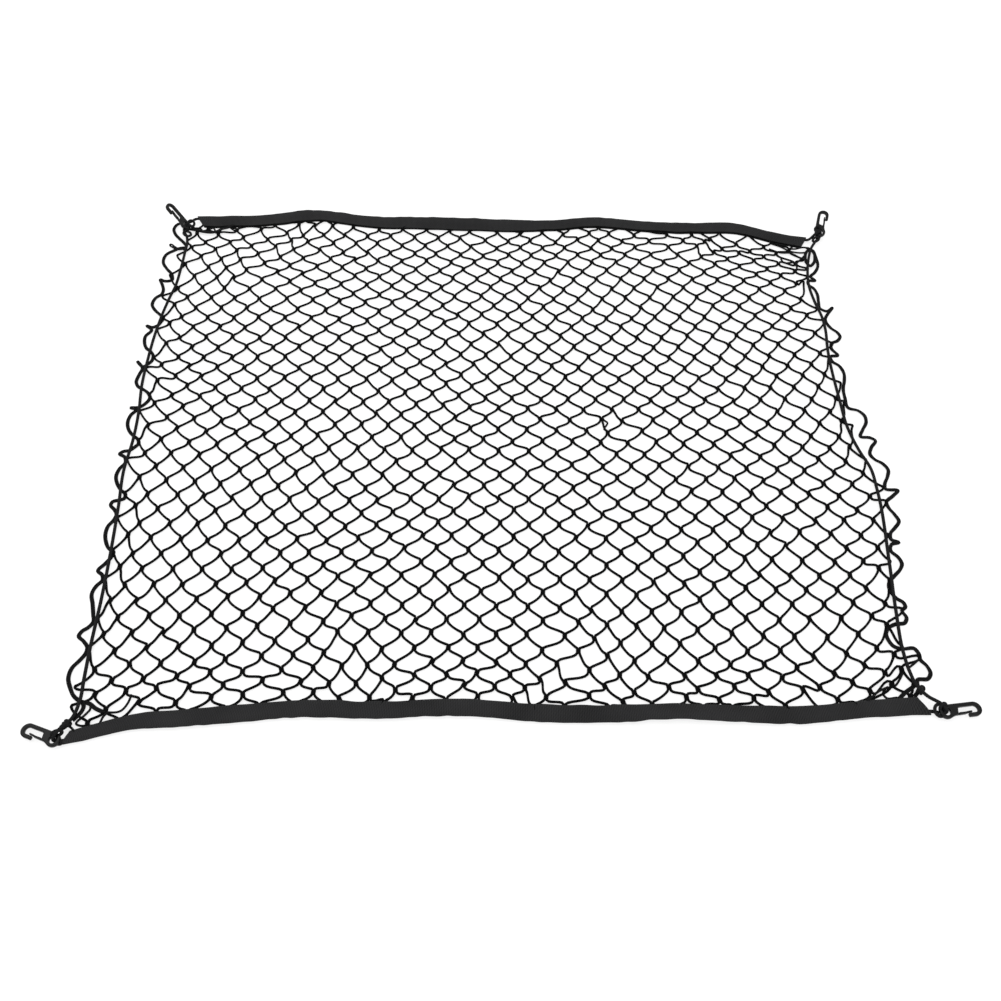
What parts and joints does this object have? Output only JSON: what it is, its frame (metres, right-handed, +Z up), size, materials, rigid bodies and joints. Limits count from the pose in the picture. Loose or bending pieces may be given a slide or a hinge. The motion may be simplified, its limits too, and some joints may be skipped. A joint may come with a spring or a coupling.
{
  "type": "cargo net",
  "caption": "Elastic diamond-mesh cargo net with taped edges, side shock cords and a gated snap hook at each corner, laid flat.",
  "frame": {"origin": "centre of the whole's box, on the surface that the net lies on", "axes": "+X to the right along the taped edges, +Y from the near taped edge to the far one, +Z up"},
  "size_m": [0.9928, 0.8366, 0.0363],
  "materials": {
    "mesh_cord": "matte",
    "tape": "matte",
    "shock_cord": "matte",
    "hook_plastic": "gloss"
  },
  "bodies": {
    "net_body": {"net": "mesh_cord", "binding_far": "tape", "binding_near": "tape", "elastic_left": "shock_cord", "elastic_right": "shock_cord", "hook_near_left": "hook_plastic", "hook_near_right": "hook_plastic", "hook_far_left": "hook_plastic", "hook_far_right": "hook_plastic"},
    "gate_body_near_left": {"gate_near_left": "hook_plastic"},
    "gate_body_near_right": {"gate_near_right": "hook_plastic"},
    "gate_body_far_left": {"gate_far_left": "hook_plastic"},
    "gate_body_far_right": {"gate_far_right": "hook_plastic"}
  },
  "joints": [
    {"name": "gate_turn_near_left", "type": "hinge", "parent": "net_body", "child": "gate_body_near_left", "pos_m": [-0.47365, -0.40929, 0.0059], "axis": [0.0489, -0.0188, -0.9986], "range_deg": [0, 18], "stiffness_Nm_per_rad": 0.02},
    {"name": "gate_turn_near_right", "type": "hinge", "parent": "net_body", "child": "gate_body_near_right", "pos_m": [0.47211, -0.3819, 0.0059], "axis": [0.0518, 0.0077, 0.9986], "range_deg": [0, 18], "stiffness_Nm_per_rad": 0.02},
    {"name": "gate_turn_far_left", "type": "hinge", "parent": "net_body", "child": "gate_body_far_left", "pos_m": [-0.47556, 0.38019, 0.02108], "axis": [-0.68, 0.0068, -0.7332], "range_deg": [0, 18], "stiffness_Nm_per_rad": 0.02},
    {"name": "gate_turn_far_right", "type": "hinge", "parent": "net_body", "child": "gate_body_far_right", "pos_m": [0.46922, 0.37477, 0.01303], "axis": [-0.0626, -0.2337, 0.9703], "range_deg": [0, 18], "stiffness_Nm_per_rad": 0.02}
  ]
}
